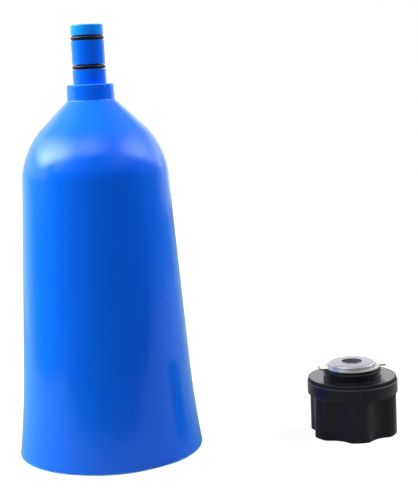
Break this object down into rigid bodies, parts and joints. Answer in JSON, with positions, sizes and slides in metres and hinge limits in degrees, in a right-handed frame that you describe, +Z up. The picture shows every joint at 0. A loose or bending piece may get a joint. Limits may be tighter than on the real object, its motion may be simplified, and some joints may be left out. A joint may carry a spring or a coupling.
{
  "type": "filling funnel with neck adapter",
  "caption": "Bell-shaped filling funnel with an O-ringed spigot, stood on its mouth beside the bayonet adapter that plugs onto the spigot and locks into a filler neck.",
  "frame": {"origin": "under the middle of the pair, on the surface that both pieces stand on", "axes": "+Z up along both axes, +X from the funnel towards the adapter, +Y away from the viewer"},
  "size_m": [0.2412, 0.1152, 0.2636],
  "materials": {
    "blue_plastic": "semi-gloss moulded",
    "black_plastic": "satin moulded",
    "seal_rubber": "smooth",
    "plate_steel": "zinc plated",
    "spring_steel": "plain"
  },
  "bodies": {
    "funnel": {"funnel_body": "blue_plastic", "spout": "blue_plastic", "tip_o_ring": "seal_rubber", "root_o_ring": "seal_rubber"},
    "adapter": {"adapter_grip": "black_plastic", "grip_ring": "black_plastic", "flange_gasket": "seal_rubber", "neck_seal": "seal_rubber", "plate_spring": "spring_steel"},
    "plate": {"bayonet_plate": "plate_steel", "draw_tube": "plate_steel", "spring_washer": "spring_steel", "snap_ring": "spring_steel"}
  },
  "joints": [
    {"name": "adapter_lift", "type": "slide", "parent": "funnel", "child": "adapter", "axis": [0, 0, 1], "range_m": [0, 0.28]},
    {"name": "plate_travel", "type": "slide", "parent": "adapter", "child": "plate", "axis": [0, 0, 1], "range_m": [0, 0.002], "stiffness_N_per_m": 2000, "springref_m": -0.0025, "deforming": ["plate_spring"]}
  ]
}
